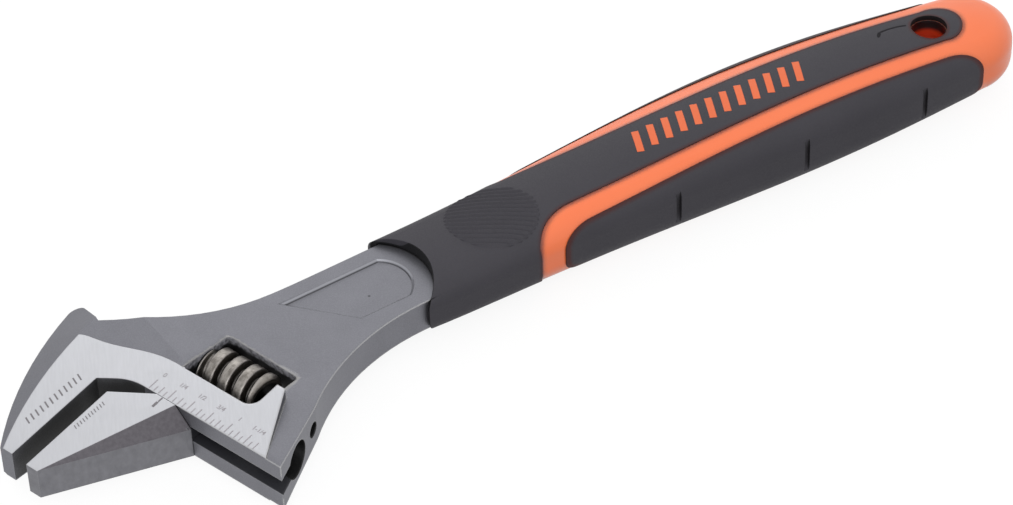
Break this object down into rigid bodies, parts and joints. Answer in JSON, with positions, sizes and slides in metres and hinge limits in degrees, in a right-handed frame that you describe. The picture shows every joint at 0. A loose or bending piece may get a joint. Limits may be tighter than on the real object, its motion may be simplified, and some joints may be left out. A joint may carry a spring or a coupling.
{
  "type": "adjustable wrench",
  "caption": "Adjustable wrench with a sliding lower jaw, thumb worm, inch scale and a two-colour soft grip with a hang hole.",
  "frame": {"origin": "on the axis of the hang hole, at mid thickness", "axes": "+X along the handle toward its end, +Z out of the upper face of the wrench lying on its side"},
  "size_m": [0.3092, 0.0816, 0.0254],
  "materials": {
    "forged_steel": "satin chrome over forged steel, ground bright on the jaw faces",
    "jaw_steel": "satin chrome over forged steel, ground bright on the jaw faces",
    "worm_steel": "oiled machined steel",
    "pin_steel": "plain",
    "spring_steel": "plain",
    "orange_plastic": "moulded, fine grain",
    "black_rubber": "soft overmould, fine grain"
  },
  "bodies": {
    "handle": {"wrench_body": "forged_steel", "knurl_pin": "pin_steel", "knurl_spring": "spring_steel", "grip_core": "orange_plastic", "grip_sleeve": "black_rubber", "side_pad_far": "black_rubber", "side_pad_near": "black_rubber"},
    "jaw": {"sliding_jaw": "jaw_steel"},
    "worm": {"knurl": "worm_steel"}
  },
  "joints": [
    {"name": "knurl_turn", "type": "hinge", "parent": "handle", "child": "worm", "pos_m": [-0.22147, -0.02163, 0], "axis": [-0.3827, 0.9239, 0], "range_deg": [-389.5, 2101.5]},
    {"name": "jaw_slide", "type": "slide", "parent": "handle", "child": "jaw", "axis": [0.3827, -0.9239, 0], "range_m": [-0.0053, 0.0286]}
  ],
  "couplings": [
    {"joint": "knurl_turn", "follows": "jaw_slide", "rad_per_m": 1282.3}
  ]
}
